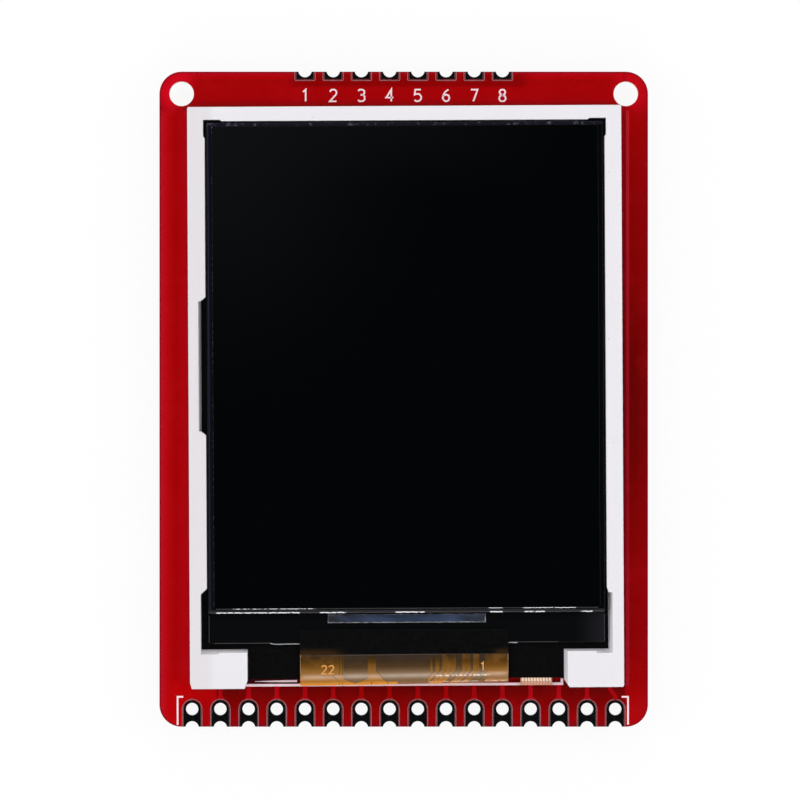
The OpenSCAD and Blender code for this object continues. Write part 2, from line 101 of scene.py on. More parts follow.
class Level:
    """A value that varies over a surface, held as a socket; arithmetic on it adds Math nodes."""

    def __init__(self, graph, socket):
        self.graph, self.socket = graph, socket

    __add__ = __radd__ = maths("ADD")
    __mul__ = __rmul__ = maths("MULTIPLY")
    __sub__, __rsub__ = maths("SUBTRACT"), maths("SUBTRACT", swapped=True)
    __truediv__, __pow__, __abs__ = maths("DIVIDE"), maths("POWER"), maths("ABSOLUTE")
    lesser, greater, fraction = maths("MINIMUM"), maths("MAXIMUM"), maths("FRACT")

    def past(self, edge, blur=0.04):
        """0 before edge, 1 after it, with a soft change blur wide."""
        return self.graph.node("MapRange", self, edge - blur / 2, edge + blur / 2, 0.0, 1.0,
                               interpolation_type="SMOOTHSTEP")

    def before(self, edge, blur=0.04):
        """1 before edge, 0 after it."""
        return 1 - self.past(edge, blur)

    def within(self, low, high, blur=0.04):
        """1 between low and high, 0 outside."""
        return self.past(low, blur) * self.before(high, blur)

    def near(self, centre, half, blur=0.04):
        """1 up to half on either side of centre, 0 outside."""
        return abs(self - centre).before(half, blur)

    def in_spans(self, spans, blur=0.15):
        """1 inside any of the (low, high) spans."""
        return highest(self.within(*span, blur) for span in spans)

    def repeat(self, pitch, start=0.0):
        """Distance from the nearest of lines one pitch apart."""
        return abs(((self - start) / pitch + 0.5).fraction() - 0.5) * pitch


def highest(levels):
    """The highest of several levels at every point."""
    return reduce(Level.greater, levels)


def distance(x, y, at):
    """Distance of the point (x, y) from a place."""
    return ((x - at[0]) ** 2.0 + (y - at[1]) ** 2.0) ** 0.5


class Graph:
    """A node tree, with one way to add any node to it."""

    def __init__(self, tree):
        self.tree = tree
        tree.nodes.clear()

    def node(self, kind, *inputs, out=0, named=None, stops=None, **settings):
        """Adds a node: its settings first, then its sockets, by place or by name."""
        made = self.tree.nodes.new("ShaderNode" + kind)
        for key, value in settings.items():
            setattr(made, key, value)
        if stops:
            elements = made.color_ramp.elements
            elements.remove(elements[1])
            elements[0].position, elements[0].color = stops[0]
            for place, colour in stops[1:]:
                elements.new(place).color = colour
        for place, value in [*enumerate(inputs), *(named or {}).items()]:
            self.feed(made.inputs[place], value)
        return Level(self, made.outputs[out]) if made.outputs else None

    def feed(self, socket, value):
        if isinstance(value, Level):
            self.tree.links.new(value.socket, socket)
        elif value is not None:
            socket.default_value = value


class Finish(Graph):
    """A material of the object: a Principled shader fed by expressions on Object or UV coordinates."""

    def __init__(self, name, colour, roughness, bump, **constants):
        """colour and roughness are functions of the finish, or constants; bump is (height, depth in mm)."""
        self.material = bpy.data.materials.new(name)
        self.material.use_nodes = True
        super().__init__(self.material.node_tree)
        self.shader = self.tree.nodes.new("ShaderNodeBsdfPrincipled")
        output = self.tree.nodes.new("ShaderNodeOutputMaterial")
        self.tree.links.new(self.shader.outputs[0], output.inputs[0])
        metres = self.node("TexCoord", out=3)
        self.place = self.node("VectorMath", metres, (1 / MM,) * 3, operation="MULTIPLY")
        for key, value in {"Base Color": colour, "Roughness": roughness, **constants}.items():
            key = key.replace("_", " ")
            self.feed(self.shader.inputs[key], value(self) if callable(value) else value)
        height, depth = bump
        self.feed(self.shader.inputs["Normal"],
                  self.node("Bump", named={"Height": height(self), "Distance": depth * MM, "Strength": 1.0}))

    def axis(self, which, vector=None):
        """One coordinate of a vector, or of the place on the object in mm."""
        return self.node("SeparateXYZ", vector or self.place, out="XYZ".index(which))

    def on_display(self):
        """X and Y along the display's own edges, from its centre."""
        x, y = self.axis("X") - DISPLAY_AT[0], self.axis("Y") - DISPLAY_AT[1]
        c, s = math.cos(GLUE_SKEW), math.sin(GLUE_SKEW)
        return x * c + y * s, y * c - x * s

    def strip(self):
        """X across and distance along a piece that carries its own map, in mm."""
        uv = self.node("TexCoord", out=2)
        return self.axis("X", uv), self.axis("Y", uv)

    def noise(self, scale, detail=2.0, rough=0.5, stretch=(1.0, 1.0, 1.0), shift=0.0, vector=None):
        """Cloudy noise about 0.5, with scale features to the millimetre."""
        place = self.node("VectorMath", vector or self.place, stretch, (shift,) * 3, operation="MULTIPLY_ADD")
        sockets = {"Vector": place, "Scale": scale, "Detail": detail, "Roughness": rough}
        return self.node("TexNoise", named=sockets)

    def mix(self, share, first, second):
        """Two colours mixed, each a link or written as 0 to 255."""
        first, second = (linear(*c) if isinstance(c, tuple) else c for c in (first, second))
        return self.node("Mix", named={0: share, 6: first, 7: second}, out=2, data_type="RGBA")

    def ramp(self, along, *stops):
        """Colours, written as 0 to 255, set along a value at places in its own units."""
        low, long = stops[0][0], stops[-1][0] - stops[0][0]
        return self.node("ValToRGB", (along - low) / long,
                         stops=[((place - low) / long, linear(*colour)) for place, colour in stops])

    def layers(self, base, *covers):
        """Colours laid over a base, each by its own share."""
        for share, colour in covers:
            base = self.mix(share, base, colour)
        return base


def mottled(scale, detail, first, second, **how):
    """A colour that drifts in patches from first to second."""
    return lambda f: f.mix(f.noise(scale, detail, **how), first, second)


def uneven(scale, detail, span, least, **how):
    """A roughness that drifts in patches, from least up by span."""
    return lambda f: f.noise(scale, detail, **how) * span + least


def grain(scale, detail, depth, **how):
    """A bump of noise, depth mm high."""
    return (lambda f: f.noise(scale, detail, **how)), depth


# ---- Camera, lamps and floor ----

def floor_finish(graph):
    """White for the camera and for reflections, and plain diffuse, which keeps the shadow, for the rest."""
    kinds = ("Camera", "Glossy", "Transmission")
    rays = highest(graph.node("LightPath", out=f"Is {kind} Ray") for kind in kinds)
    diffuse = graph.node("BsdfDiffuse", linear(248, 248, 248))
    white = graph.node("Emission", (1.0, 1.0, 1.0, 1.0), 1.0)
    graph.node("OutputMaterial", graph.node("MixShader", rays * 0.9, diffuse, white))


def build_floor():
    """A wide floor just under the module."""
    half, low = 6.0, -2e-5
    mesh = bpy.data.meshes.new("floor")
    mesh.from_pydata([(-half, -half, low), (half, -half, low), (half, half, low), (-half, half, low)],
                     [], [(0, 1, 2, 3)])
    material = bpy.data.materials.new("floor")
    material.use_nodes = True
    floor_finish(Graph(material.node_tree))
    mesh.materials.append(material)
    ground = bpy.data.objects.new("floor", mesh)
    bpy.context.scene.collection.objects.link(ground)


def build_camera():
    """Straight above the board, one metre up and a little off its centre."""
    camera = bpy.data.cameras.new("camera")
    camera.sensor_width, camera.lens = 36, 499.7
    camera.clip_start, camera.clip_end = 0.01, 10
    holder = bpy.data.objects.new("camera", camera)
    holder.location = (-0.333 * MM, -0.072 * MM, 1 + BOARD_TOP * MM)
    bpy.context.scene.collection.objects.link(holder)
    bpy.context.scene.camera = holder


def build_lamps(power=1.07, far=0.62, rise=math.radians(46)):
    """Four soft lamps, one square to each side of the board, aimed at its middle."""
    for turn in range(4):
        light = bpy.data.lights.new(f"softbox_{turn}", "AREA")
        light.shape, light.size, light.size_y, light.energy = "RECTANGLE", 0.52, 0.38, power
        box = bpy.data.objects.new(light.name, light)
        around = turn * math.pi / 2
        box.location = (far * math.cos(rise) * math.cos(around), far * math.cos(rise) * math.sin(around),
                        far * math.sin(rise))
        box.rotation_euler = (0, math.pi / 2 - rise, around)
        bpy.context.scene.collection.objects.link(box)


def build_world():
    """A bright horizon that falls to a nearly dark zenith, so that flat glass and tin look dark."""
    world = bpy.data.worlds.new("studio")
    world.use_nodes = True
    graph = Graph(world.node_tree)
    rise = graph.node("SeparateXYZ", graph.node("TexCoord", out=0), out=2)
    glow = 1 - graph.node("MapRange", rise, 0.35, 0.9, 0.0, 0.992, interpolation_type="SMOOTHSTEP")
    graph.node("OutputWorld", graph.node("Background", (0.97, 0.98, 1.0, 1.0), glow))
    bpy.context.scene.world = world


bpy.context.scene.view_settings.view_transform = "Standard"
build_camera()
build_floor()
build_lamps()
build_world()


# ---- Shapes ----

def volume(points, faces):
    """Six times the signed volume under an array of faces: each is a fan of triangles from its first
    corner, and a triangle adds the triple product of its corners."""
    corner = points[faces]
    return (corner[:, :1] * np.cross(corner[:, 1:-1], corner[:, 2:])).sum()


def gather(shapes):
    """Several (points, faces) pairs as one."""
    points, faces, count = [], [], 0
    for some, theirs in shapes:
        points.append(some)
        faces += [[i + count for i in face] for face in theirs]
        count += len(some)
    return np.concatenate(points), faces


def tube(rings, closed=False):
    """Quads between rings of points, an array (ring, point, xyz); each ring closes on itself, and an open
    tube gets a flat end at either side. All faces are turned round if the volume inside is below 0."""
    rings = np.asarray(rings, float)
    n, k = rings.shape[:2]
    i, j = np.meshgrid(np.arange(n if closed else n - 1), np.arange(k), indexing="ij")
    ahead, side = (i + 1) % n, (j + 1) % k
    groups = [np.stack([i * k + j, i * k + side, ahead * k + side, ahead * k + j], -1).reshape(-1, 4)]
    if not closed:
        groups.append(np.array([range(k - 1, -1, -1), range((n - 1) * k, n * k)]))
    points = rings.reshape(-1, 3)
    if sum(volume(points, faces) for faces in groups) < 0:
        groups = [faces[:, ::-1] for faces in groups]
    return points, [face for faces in groups for face in faces.tolist()]


def run(path, profile, z=0.0, closed=False, width=None):
    """A closed profile of (sideways, up) points carried along a flat path. Sideways goes along the mitred
    normal, the sum of the two neighbours' unit normals over one plus their dot product. width scales it at
    each path point."""
    path = np.asarray(path, float)
    steps = np.roll(path, -1, 0) - path if closed else np.diff(path, axis=0)
    normals = np.stack([-steps[:, 1], steps[:, 0]], 1) / np.linalg.norm(steps, axis=1)[:, None]
    before = np.roll(normals, 1, 0) if closed else np.vstack([normals[:1], normals])
    after = normals if closed else np.vstack([normals, normals[-1:]])
    mitre = (before + after) / (1 + (before * after).sum(1))[:, None]
    if width is not None:
        mitre = mitre * np.asarray(width, float)[:, None]
    profile = np.asarray(profile, float)
    flat = path[:, None, :] + mitre[:, None, :] * profile[None, :, :1]
    up = np.broadcast_to(z + profile[None, :, 1:], flat.shape[:2] + (1,))
    return tube(np.concatenate([flat, up], -1), closed)


def bar(width, height, slope=0.35):
    """Section of a thin printed or etched line: a trapezium whose sides lean in by slope of the height."""
    lean = slope * height
    return [(-width / 2, 0), (width / 2, 0), (width / 2 - lean, height), (-width / 2 + lean, height)]


def arc(centre, radius, start, end, n=16):
    """n points on an arc, angles in degrees."""
    a = np.radians(np.linspace(start, end, n))
    return np.stack([centre[0] + radius * np.cos(a), centre[1] + radius * np.sin(a)], 1)


def circle(centre, radius, n=16):
    """n points round a circle."""
    return arc(centre, radius, 0, 360, n + 1)[:-1]


def ragged(start, end, profile, z, wander, seed, step=0.12):
    """A profile along a line between two points whose path wanders sideways by up to wander."""
    start, end = np.array(start, float), np.array(end, float)
    n = max(2, int(np.linalg.norm(end - start) / step))
    path = start + (end - start) * np.linspace(0, 1, n)[:, None]
    aside = np.array([start[1] - end[1], end[0] - start[0]]) / np.linalg.norm(end - start)
    path = path + aside * wander * np.random.default_rng(seed).uniform(-1, 1, (n, 1))
    return run(path, profile, z)


def placed(shape):
    """A shape in the display's own mm moved to its place: turned by the glue's skew, then shifted."""
    points, faces = shape
    c, s = math.cos(GLUE_SKEW), math.sin(GLUE_SKEW)
    x, y, z = points.T
    return np.stack([x * c - y * s, x * s + y * c, z], 1) + DISPLAY_AT, faces


def settle(name, mesh, finish, smooth=True, stands_for=()):
    """Makes an object of a mesh, on the part's one body."""
    mesh.update()
    mesh.validate()
    if smooth:
        mesh.shade_smooth()
        mesh.set_sharp_from_angle(angle=math.radians(32))
    mesh.materials.clear()
    mesh.materials.append(finish.material)
    made = bpy.data.objects.new(name, mesh)
    bpy.context.scene.collection.objects.link(made)
    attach(made, "root")
    if stands_for:
        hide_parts(*stands_for)
    return made


def piece(name, shape, finish, smooth=True, uv=None, stands_for=()):
    """Makes an object of (points in mm, faces), with a map of one (u, v) to each point if uv is given."""
    points, faces = shape
    mesh = bpy.data.meshes.new(name)
    mesh.from_pydata((points * MM).tolist(), [], faces)
    if uv is not None:
        corner = np.zeros(len(mesh.loops), np.int32)
        mesh.loops.foreach_get("vertex_index", corner)
        layer = mesh.uv_layers.new(name="map")
        layer.data.foreach_set("uv", np.asarray(uv, np.float32)[corner].ravel())
    return settle(name, mesh, finish, smooth, stands_for)


def softened(node, finish, radius):
    """A merged copy of a CAD node with its corners rounded, which stands for the node."""
    mesh = NODES[node].data.copy()
    work = bmesh.new()
    work.from_mesh(mesh)
    bmesh.ops.remove_doubles(work, verts=work.verts, dist=2e-7)
    bmesh.ops.dissolve_limit(work, angle_limit=math.radians(0.5), verts=work.verts, edges=work.edges)
    work.to_mesh(mesh)
    work.free()
    made = settle(node + "_finished", mesh, finish, stands_for=[node])
    bevel = made.modifiers.new("soft_corners", "BEVEL")
    bevel.width, bevel.segments = radius * MM, 2
    bevel.limit_method, bevel.angle_limit = "ANGLE", math.radians(32)
    bevel.harden_normals = True


def dress(node, finish):
    """Gives a CAD node that stays as it is a finish of its own."""
    mesh = NODES[node].data
    mesh.materials.clear()
    mesh.materials.append(finish.material)


# ---- Finishes ----

def from_outline(f):
    """Distance inside the board's outline, up to the corners' radius."""
    across, along = (abs(f.axis("X")) - CORNER_X).greater(0), (abs(f.axis("Y")) - CORNER_Y).greater(0)
    return CORNER_RADIUS - distance(across, along, (0, 0))


def side_strips(f, x, y):
    """The mask left and right of the display; on the right, darkest half way up, with a painted shadow by the
    frame.
    """
    left = f.ramp(x, (-21.8, (184, 14, 30)), (-21.4, (183, 4, 14)), (-21, (176, 1, 5)), (-20.5, (165, 0, 2)),
                  (-20, (180, 0, 8)), (-19.7, (182, 2, 16)))
    right = f.ramp(y, (-29, (166, 2, 6)), (-26, (158, 0, 2)), (-22, (144, 0, 2)), (-16, (139, 0, 1)),
                   (-10, (128, 0, 0)), (-7, (118, 0, 0)), (-3, (106, 0, 0)), (3, (106, 0, 0)),
                   (7, (118, 0, 0)), (10, (128, 0, 0)), (18, (137, 0, 2)), (24, (152, 0, 2)),
                   (28, (172, 1, 6)))
    # painted shadow: a dark band on the mask at x 19.85, beside the frame
    right = f.layers(right, (x.near(19.85, 0.12, 0.1) * 0.5, (108, 0, 16)),
                     (x.past(21.2, 0.5) * 0.2, (150, 1, 10)))
    return f.mix(x.past(0), left, right)


def top_strip(f, x, y):
    """The mask above the display, deeper between the castellated lands."""
    top = f.ramp(y, (26.5, (150, 4, 8)), (27, (168, 0, 5)), (28.2, (166, 0, 3)), (28.6, (160, 0, 2)),
                 (29, (172, 0, 4)), (29.35, (176, 4, 24)))
    return f.mix(y.within(28.15, 29.3, 0.3) * x.near(0.4, 10.6, 1.2) * 0.8, top, (134, 0, 1))


def low_strip(f, y):
    """The mask below the display, between the header lands and the tracks that come down to them."""
    return f.ramp(y, (-29.2, (134, 4, 14)), (-28.8, (146, 0, 3)), (-28.2, (138, 0, 2)), (-27.4, (128, 0, 1)),
                  (-26.6, (118, 0, 0)), (-25.8, (102, 0, 0)))


def mask_front(f):
    """Solder mask on the front: full over copper, deeper over bare laminate, with a painted highlight by each
    mounting hole, darker along the edges, and with a painted shadow in the gap left of the display's flex."""
    x, y = f.axis("X"), f.axis("Y")
    front = f.layers(side_strips(f, x, y), (y.past(25.9, 0.8) * x.before(19, 1.5), top_strip(f, x, y)),
                     (y.before(-25.2, 0.3) * x.within(-16.9, 19.9, 0.25), low_strip(f, y)),
                     (y.before(-25.2, 1) * x.before(-16.9, 0.25) * x.past(-21, 1), (185, 0, 4)),
                     (x.within(-19.9, -17, 0.3) * y.before(-27.2, 1.6) * 0.55, (146, 2, 6)),
                     # painted shadow: near-black on the mask between the tape's edge and the print, left of
                     # the flex
                     (x.within(-14.1, -9.4, 0.1) * y.within(-25.66, -25, 0.06) * 0.85, (34, 0, 8)))
    # painted highlight: a bright lobe on the outer side of each mounting hole, stronger at the left one
    for side, share in ((-1, 0.95), (1, 0.45)):
        hole = distance(x, y, (side * CORNER_X, CORNER_Y))
        hole_highlight = hole.before(1.9, 1.4) * (x * side + y * 0.6).past(36.2, 2.4)
        front = f.mix(hole_highlight * share, front, (202, 5, 27))
    return f.layers(front, (from_outline(f).before(0.13, 0.08) * 0.75, (118, 2, 22)),
                    (f.noise(0.35, 3).past(0.62, 0.3) * 0.12, (200, 20, 30)))


def mask_back(f):
    """Plain mask over the laminate's weave."""
    weave = (f.axis("X").repeat(0.45).past(0.11, 0.1) + f.axis("Y").repeat(0.45).past(0.11, 0.1)) * 0.12
    return f.mix(f.noise(0.35, 3) * 0.5 + weave, (150, 2, 6), (172, 4, 10))


def board_colour(f):
    """Red solder mask on both faces, and tan laminate on the sawn sides."""
    z = f.axis("Z")
    sawn = f.mix(f.noise(2, 4, stretch=(1, 1, 8)), (196, 172, 120), (140, 110, 66))
    return f.layers(mask_back(f), (z.past((BOARD_LOW + BOARD_TOP) / 2), mask_front(f)),
                    (z.within(BOARD_LOW + 0.06, BOARD_TOP - 0.05, 0.03), sawn))


def track_colour(f):
    """The mask over copper tracks: brighter towards both ends of the header, paler on the long side track."""
    x, y = f.axis("X"), f.axis("Y")
    header = f.ramp(x, (-19, (184, 0, 10)), (-11, (176, 0, 14)), (-6, (160, 0, 2)), (-2, (157, 0, 0)),
                    (6, (164, 0, 6)), (14, (178, 2, 18)), (19, (172, 3, 14)))
    long = f.ramp(y, (-24, (166, 16, 36)), (-12, (150, 6, 24)), (0, (146, 10, 24)), (12, (164, 16, 30)),
                  (25, (180, 24, 32)))
    return f.layers(header, (x.past(19.6, 0.1) * y.past(-26.2, 0.3), long),
                    (f.noise(1.5, 3).past(0.6, 0.3) * 0.15, (200, 30, 44)))


mask_gloss = uneven(1.2, 3, 0.08, 0.14)
board_red = Finish("red_solder_mask", board_colour, mask_gloss, grain(1.1, 4, 0.006, rough=0.55))
trace_red = Finish("mask_over_copper", track_colour, mask_gloss, grain(2.2, 3, 0.004))
silk_white = Finish("white_ink", mottled(6, 4, (255, 238, 242), (240, 204, 212)), 0.55, grain(9, 3, 0.01))
dull_tin = Finish("levelled_tin", mottled(2.4, 4, (134, 138, 146), (174, 176, 180)), uneven(3, 4, 0.10, 0.06),
                  grain(3.2, 3, 0.012), Metallic=1)
# painted highlight: the pale colour of the mask's cut edge round each land
mask_edge_highlight = Finish("mask_edge_painted_highlight", mottled(4, 3, (176, 138, 142), (120, 70, 76)), 0.45,
                  grain(9, 2, 0.01))


def moulded_colour(f):
    """White moulding with faint flow marks and a few dark specks, and painted shade along its left side."""
    flow = f.mix(f.noise(0.16, 3, stretch=(1, 0.25, 1)), (227, 225, 228), (235, 231, 236))
    specks = f.noise(2.6, 1, shift=11).past(0.80, 0.05)
    # painted shade: darker along the frame's left side
    return f.layers(flow, (f.axis("X").before(-17.3, 0.8) * 0.5, (216, 210, 212)),
                    (specks * 0.35, (150, 146, 150)))


frame_white = Finish("moulded_white", moulded_colour, uneven(0.8, 2, 0.08, 0.26),
                     (lambda f: f.noise(9, 2) * 0.04 + f.noise(0.5, 2), 0.004))


def polarizer_colour(f):
    """Near-black film, with a painted reflection that makes it a little greyer towards its top left corner.
    """
    x, y = f.on_display()
    glow = distance(x, (y - 24.4) * 0.8, (-17.3, 0)).before(9, 26)
    # painted reflection: grey drifting in towards the top left corner
    return f.layers((2, 4, 5), (glow * 0.9, (16, 17, 18)),
                    (y.past(21.5, 7) * x.before(8, 14) * 0.5, (15, 15, 17)))


screen_film = Finish("polarizing_film", polarizer_colour, uneven(0.9, 3, 0.05, 0.06), grain(0.25, 2, 0.004))


def glass_colour(f):
    """Dark glass, with painted highlights of its edges as paler strips at the left and top, a pale line and
    flecks;
    a grey line of bare glass below the film, and a greyer right end to the ledge that carries the driver."""
    x, y = f.on_display()
    front = f.axis("Z").past(DISPLAY_AT[2] + 1.7)
    top = y.past(24.42, 0.05) * front
    specks = x.near(-17.28, 0.04, 0.05) * f.noise(3.2, 1).past(0.58, 0.06)
    return f.layers(f.mix(y.past(-19.4, 0.05), (10, 11, 12), (6, 7, 9)),
                    # painted highlights of the glass's edges: the paler strips, the line at x -17.66 and the
                    # flecks
                    (x.before(-17.34, 0.06) * front * 0.9, (17, 16, 25)),
                    (x.near(-17.66, 0.05, 0.06) * front * 0.8, (40, 39, 52)),
                    (specks * front * 0.75, (110, 108, 120)),
                    (y.before(-19.4, 0.05) * x.past(16.5, 3.2) * 0.95, (30, 30, 34)),
                    (top * 0.9, (27, 25, 36)),
                    (top * f.noise(1.4, 4, rough=0.7).past(0.6, 0.12) * 0.5, (110, 108, 124)),
                    (y.within(-19.33, -19.1, 0.05) * front, (42, 42, 45)))


cell_glass = Finish("dark_glass", glass_colour, 0.05, grain(0.3, 2, 0.002))

# Stretches of X along the two broken edges that catch the light
FILM_GLINTS = [(-15.6, -8.2), (7.4, 8.6), (10.4, 15.2)]
GLASS_GLINTS = [(-17.1, -9.6), (-7.8, -5.4), (-1, 1.6), (7.5, 8.6), (10.6, 12.4), (15.6, 16.7)]


def broken_colour(f):
    """Cut film and snapped glass: pale flecks in the stretches that catch the light, grey between them."""
    x, y = f.on_display()
    film = y.past(-19.2)
    lit = film * x.in_spans(FILM_GLINTS) + (1 - film) * x.in_spans(GLASS_GLINTS)
    fleck = f.noise(2.6, 3, rough=0.6, stretch=(1, 0.4, 0.4)).past(0.43, 0.12)
    return f.layers((58, 58, 60), (f.noise(1.2, 2) * 0.5, (30, 30, 34)), (lit * fleck, (236, 236, 240)),
                    (lit * (1 - fleck) * 0.6, (120, 122, 130)))


broken_edge = Finish("snapped_edge", broken_colour, uneven(6, 3, 0.3, 0.25), grain(5, 3, 0.02))
# painted highlights on the rear glass's edge: a faint grey line, and a brighter glint where it is chipped
frosted_and_lit_edge = Finish("frosted_edge_painted_highlight", mottled(1.6, 3, (24, 25, 28), (66, 67, 72)), 0.4, grain(8, 2, 0.006))
chip_glint_finish = Finish("chip_painted_glint", mottled(2.4, 3, (112, 112, 116), (190, 190, 194)), 0.35,
                       grain(8, 2, 0.008))


def silicon_colour(f):
    """Polished silicon with a painted blue sheen, stronger in two stretches and in streaks."""
    # painted sheen: the blue stretches along the die, and bluer streaks
    base = f.ramp(f.on_display()[0], (-7, (40, 44, 46)), (-5.2, (37, 40, 50)), (-3.6, (50, 58, 80)),
                  (-1.8, (41, 48, 68)), (0.2, (36, 44, 56)), (2.2, (45, 55, 76)), (3.8, (55, 64, 86)),
                  (5.4, (40, 46, 56)), (7, (46, 51, 58)))
    return f.mix(f.noise(0.6, 3, stretch=(1, 4, 1)).past(0.55, 0.3) * 0.3, base, (72, 86, 118))


def resin_colour(f):
    """Grey resin with sharp-edged pale patches."""
    return f.mix(f.noise(2.2, 4, rough=0.7).past(0.5, 0.2), (74, 76, 80), (176, 178, 182))


driver_blue = Finish("polished_silicon", silicon_colour, 0.14, grain(1.2, 2, 0.001))
resin_grey = Finish("chip_resin", resin_colour, 0.35, grain(5, 3, 0.01))


def tape_colour(f):
    """Black film, tinted amber near its low edge at both ends of the flex."""
    x, y = f.on_display()
    ends = x.before(-6.2, 2.4).greater(x.past(8, 1)) * x.within(-9.7, 9.2, 0.02)
    amber_tint = ends * y.before(-22.75, 0.75) * y.past(-23.12, 0.02) * f.axis("Z").past(5.3)
    return f.layers(f.mix(f.noise(2, 4), (2, 2, 3), (6, 6, 7)), (amber_tint * 0.5, (70, 46, 18)))


black_tape = Finish("black_tape", tape_colour, uneven(2.5, 3, 0.1, 0.2), grain(1.5, 4, 0.004),
                    Specular_IOR_Level=0.3)

# The flex's finish works on the flex's own map: u across, and v the length run from its bond, both in mm
AMBER_GAPS = [(2.1, 2.28), (2.55, 2.9), (3.15, 4.4), (4.95, 5.7), (5.95, 6.5)]


def funnel(u, v):
    """Distance from the first copper plane's middle; it grows with v where the plane narrows to its foot."""
    return abs(u + 4.62) + (v - 4.25).greater(0) * 1.75


def cut_away(u, v):
    """Distance right of the slanting edge that cuts the second plane."""
    return u + 2.8 - (v - 3.6) * 0.85


def slanted(u, v):
    """The place across the tracks, which slant sideways from where the flex folds."""
    return u + (v - 3.7).greater(0) * 0.9


def flex_copper(f):
    """Where the flex carries copper: two planes, the first with a funnel below it and the second cut away
    on its left, and tracks of uneven width that slant sideways where the flex folds."""
    u, v = f.strip()
    first = funnel(u, v).before(1.1, 0.05) * v.before(4.95, 0.05)
    cut = cut_away(u, v).before(0, 0.05) * v.past(3.6, 0.05)
    second = u.within(-2.8, 1.9) * (1 - cut) * (1 - v.past(4.7, 0.05) * u.within(-2.8, -0.85))
    tracks = (1 - slanted(u, v).in_spans(AMBER_GAPS, 0.08)) * u.within(1.9, 7)
    return highest([first, second, tracks])


def flex_lines(u, v):
    """Dark lines along the copper's edges, and softer ones where the tracks crease."""
    return highest([
        u.near(-6.98, 0.03, 0.05) * v.within(2.9, 3.7, 0.05),
        (u + 6.98 - (v - 3.7) * 0.98).near(0, 0.03, 0.06) * v.within(3.7, 4.6, 0.05),
        u.repeat(0.27, -6.08).near(0, 0.025, 0.05) * u.within(-6.3, -5.7) * (1 - v.within(4, 4.6, 0.1)),
        funnel(u, v).near(1.1, 0.05, 0.06) * v.within(4.25, 4.95, 0.05),
        cut_away(u, v).near(0, 0.03, 0.06) * v.within(3.6, 4.7, 0.05),
        u.in_spans([(-3.25, -3.17), (-1.77, -1.69)], 0.05) * v.past(4.65, 0.1),
        slanted(u, v).repeat(0.48, 0.1).near(0, 0.03, 0.06) * v.past(3.5, 0.3) * u.within(2, 7.3, 0.2) * 0.8])


def flex_crease_glints(f, u, v):
    """Painted glints: bright flecks along the two creases across the tracks."""
    fleck = f.noise(3.2, 2, vector=f.node("CombineXYZ", u, v * 0.3, 0)).past(0.5, 0.1)
    upper = v.near(4.16, 0.05, 0.08) * u.within(2.6, 7.4, 0.4)
    lower = v.near(4.8, 0.04, 0.08) * u.within(2, 9, 0.3)
    return fleck * upper.greater(lower * 0.7)


def flex_colour(f):
    """Polyimide, browner over copper, with painted shade at the bond and painted highlights where it turns
    down.
    """
    u, v = f.strip()
    cloud = f.noise(0.9, 4)
    # painted shade and highlight along the length: dark at the bond, pale across the turn
    left = f.ramp(v, (2.2, (44, 28, 10)), (2.5, (56, 36, 6)), (2.9, (80, 51, 6)), (3.3, (110, 72, 16)),
                  (3.8, (144, 102, 50)), (4.05, (168, 124, 82)), (4.25, (180, 134, 88)),
                  (4.5, (156, 100, 10)), (4.75, (186, 122, 30)), (4.95, (236, 146, 24)),
                  (5.4, (242, 156, 40)))
    right = f.ramp(v, (2.2, (70, 48, 22)), (2.8, (76, 46, 2)), (3.3, (106, 66, 10)), (3.75, (140, 98, 44)),
                   (4, (184, 138, 96)), (4.2, (150, 108, 72)), (4.5, (138, 94, 46)), (4.75, (188, 138, 96)),
                   (5, (124, 76, 52)), (5.4, (150, 92, 66)))
    metal = f.ramp(v, (2.2, (40, 30, 24)), (2.8, (48, 30, 8)), (3.3, (68, 45, 14)), (3.6, (98, 74, 46)),
                   (3.8, (124, 100, 70)), (4, (148, 124, 100)), (4.2, (144, 120, 96)), (4.4, (122, 92, 56)),
                   (4.6, (116, 82, 42)), (4.9, (138, 94, 54)), (5.2, (172, 124, 86)), (5.4, (186, 136, 104)))
    patches = f.mix(v.past(4.6, 0.6), (150, 102, 40), (236, 156, 66))
    # painted highlight: a pale sheen across the turn
    sheen = v.near(4.1, 0.05, 0.5) * u.within(-9.3, 8.9, 0.4) * f.noise(0.8, 2, stretch=(1, 0.2, 0.2))
    return f.layers(left, (u.past(4.5, 5), right), (cloud.past(0.55, 0.3) * 0.25, patches),
                    (flex_copper(f), f.mix(cloud * 0.15, metal, (120, 104, 92))),
                    (sheen * 0.76, (226, 204, 190)), (flex_lines(u, v) * 0.7, (34, 22, 13)),
                    (flex_crease_glints(f, u, v), (246, 226, 206)))


def lip_colour(f):
    """The cover tape's lip and, at either end, the flex's cut side, coloured as painted highlights."""
    return f.ramp(f.on_display()[0], (-9.56, (178, 146, 112)), (-9.5, (66, 50, 34)), (-4, (72, 62, 52)),
                  (5, (84, 68, 58)), (9, (104, 78, 52)), (9.06, (190, 158, 120)))


def lamp_flex_colour(f):
    """Amber film, paler at its folded end."""
    film = f.mix(f.noise(0.9, 4), (150, 104, 46), (176, 126, 66))
    return f.mix(f.axis("Y").before(-25.1, 0.1), film, (206, 148, 122))


def lamp_land_colour(f):
    """Pale tin above, and pinker copper below."""
    return f.mix(f.axis("Y").past(-25.45, 0.1), (232, 178, 154), (255, 236, 208))


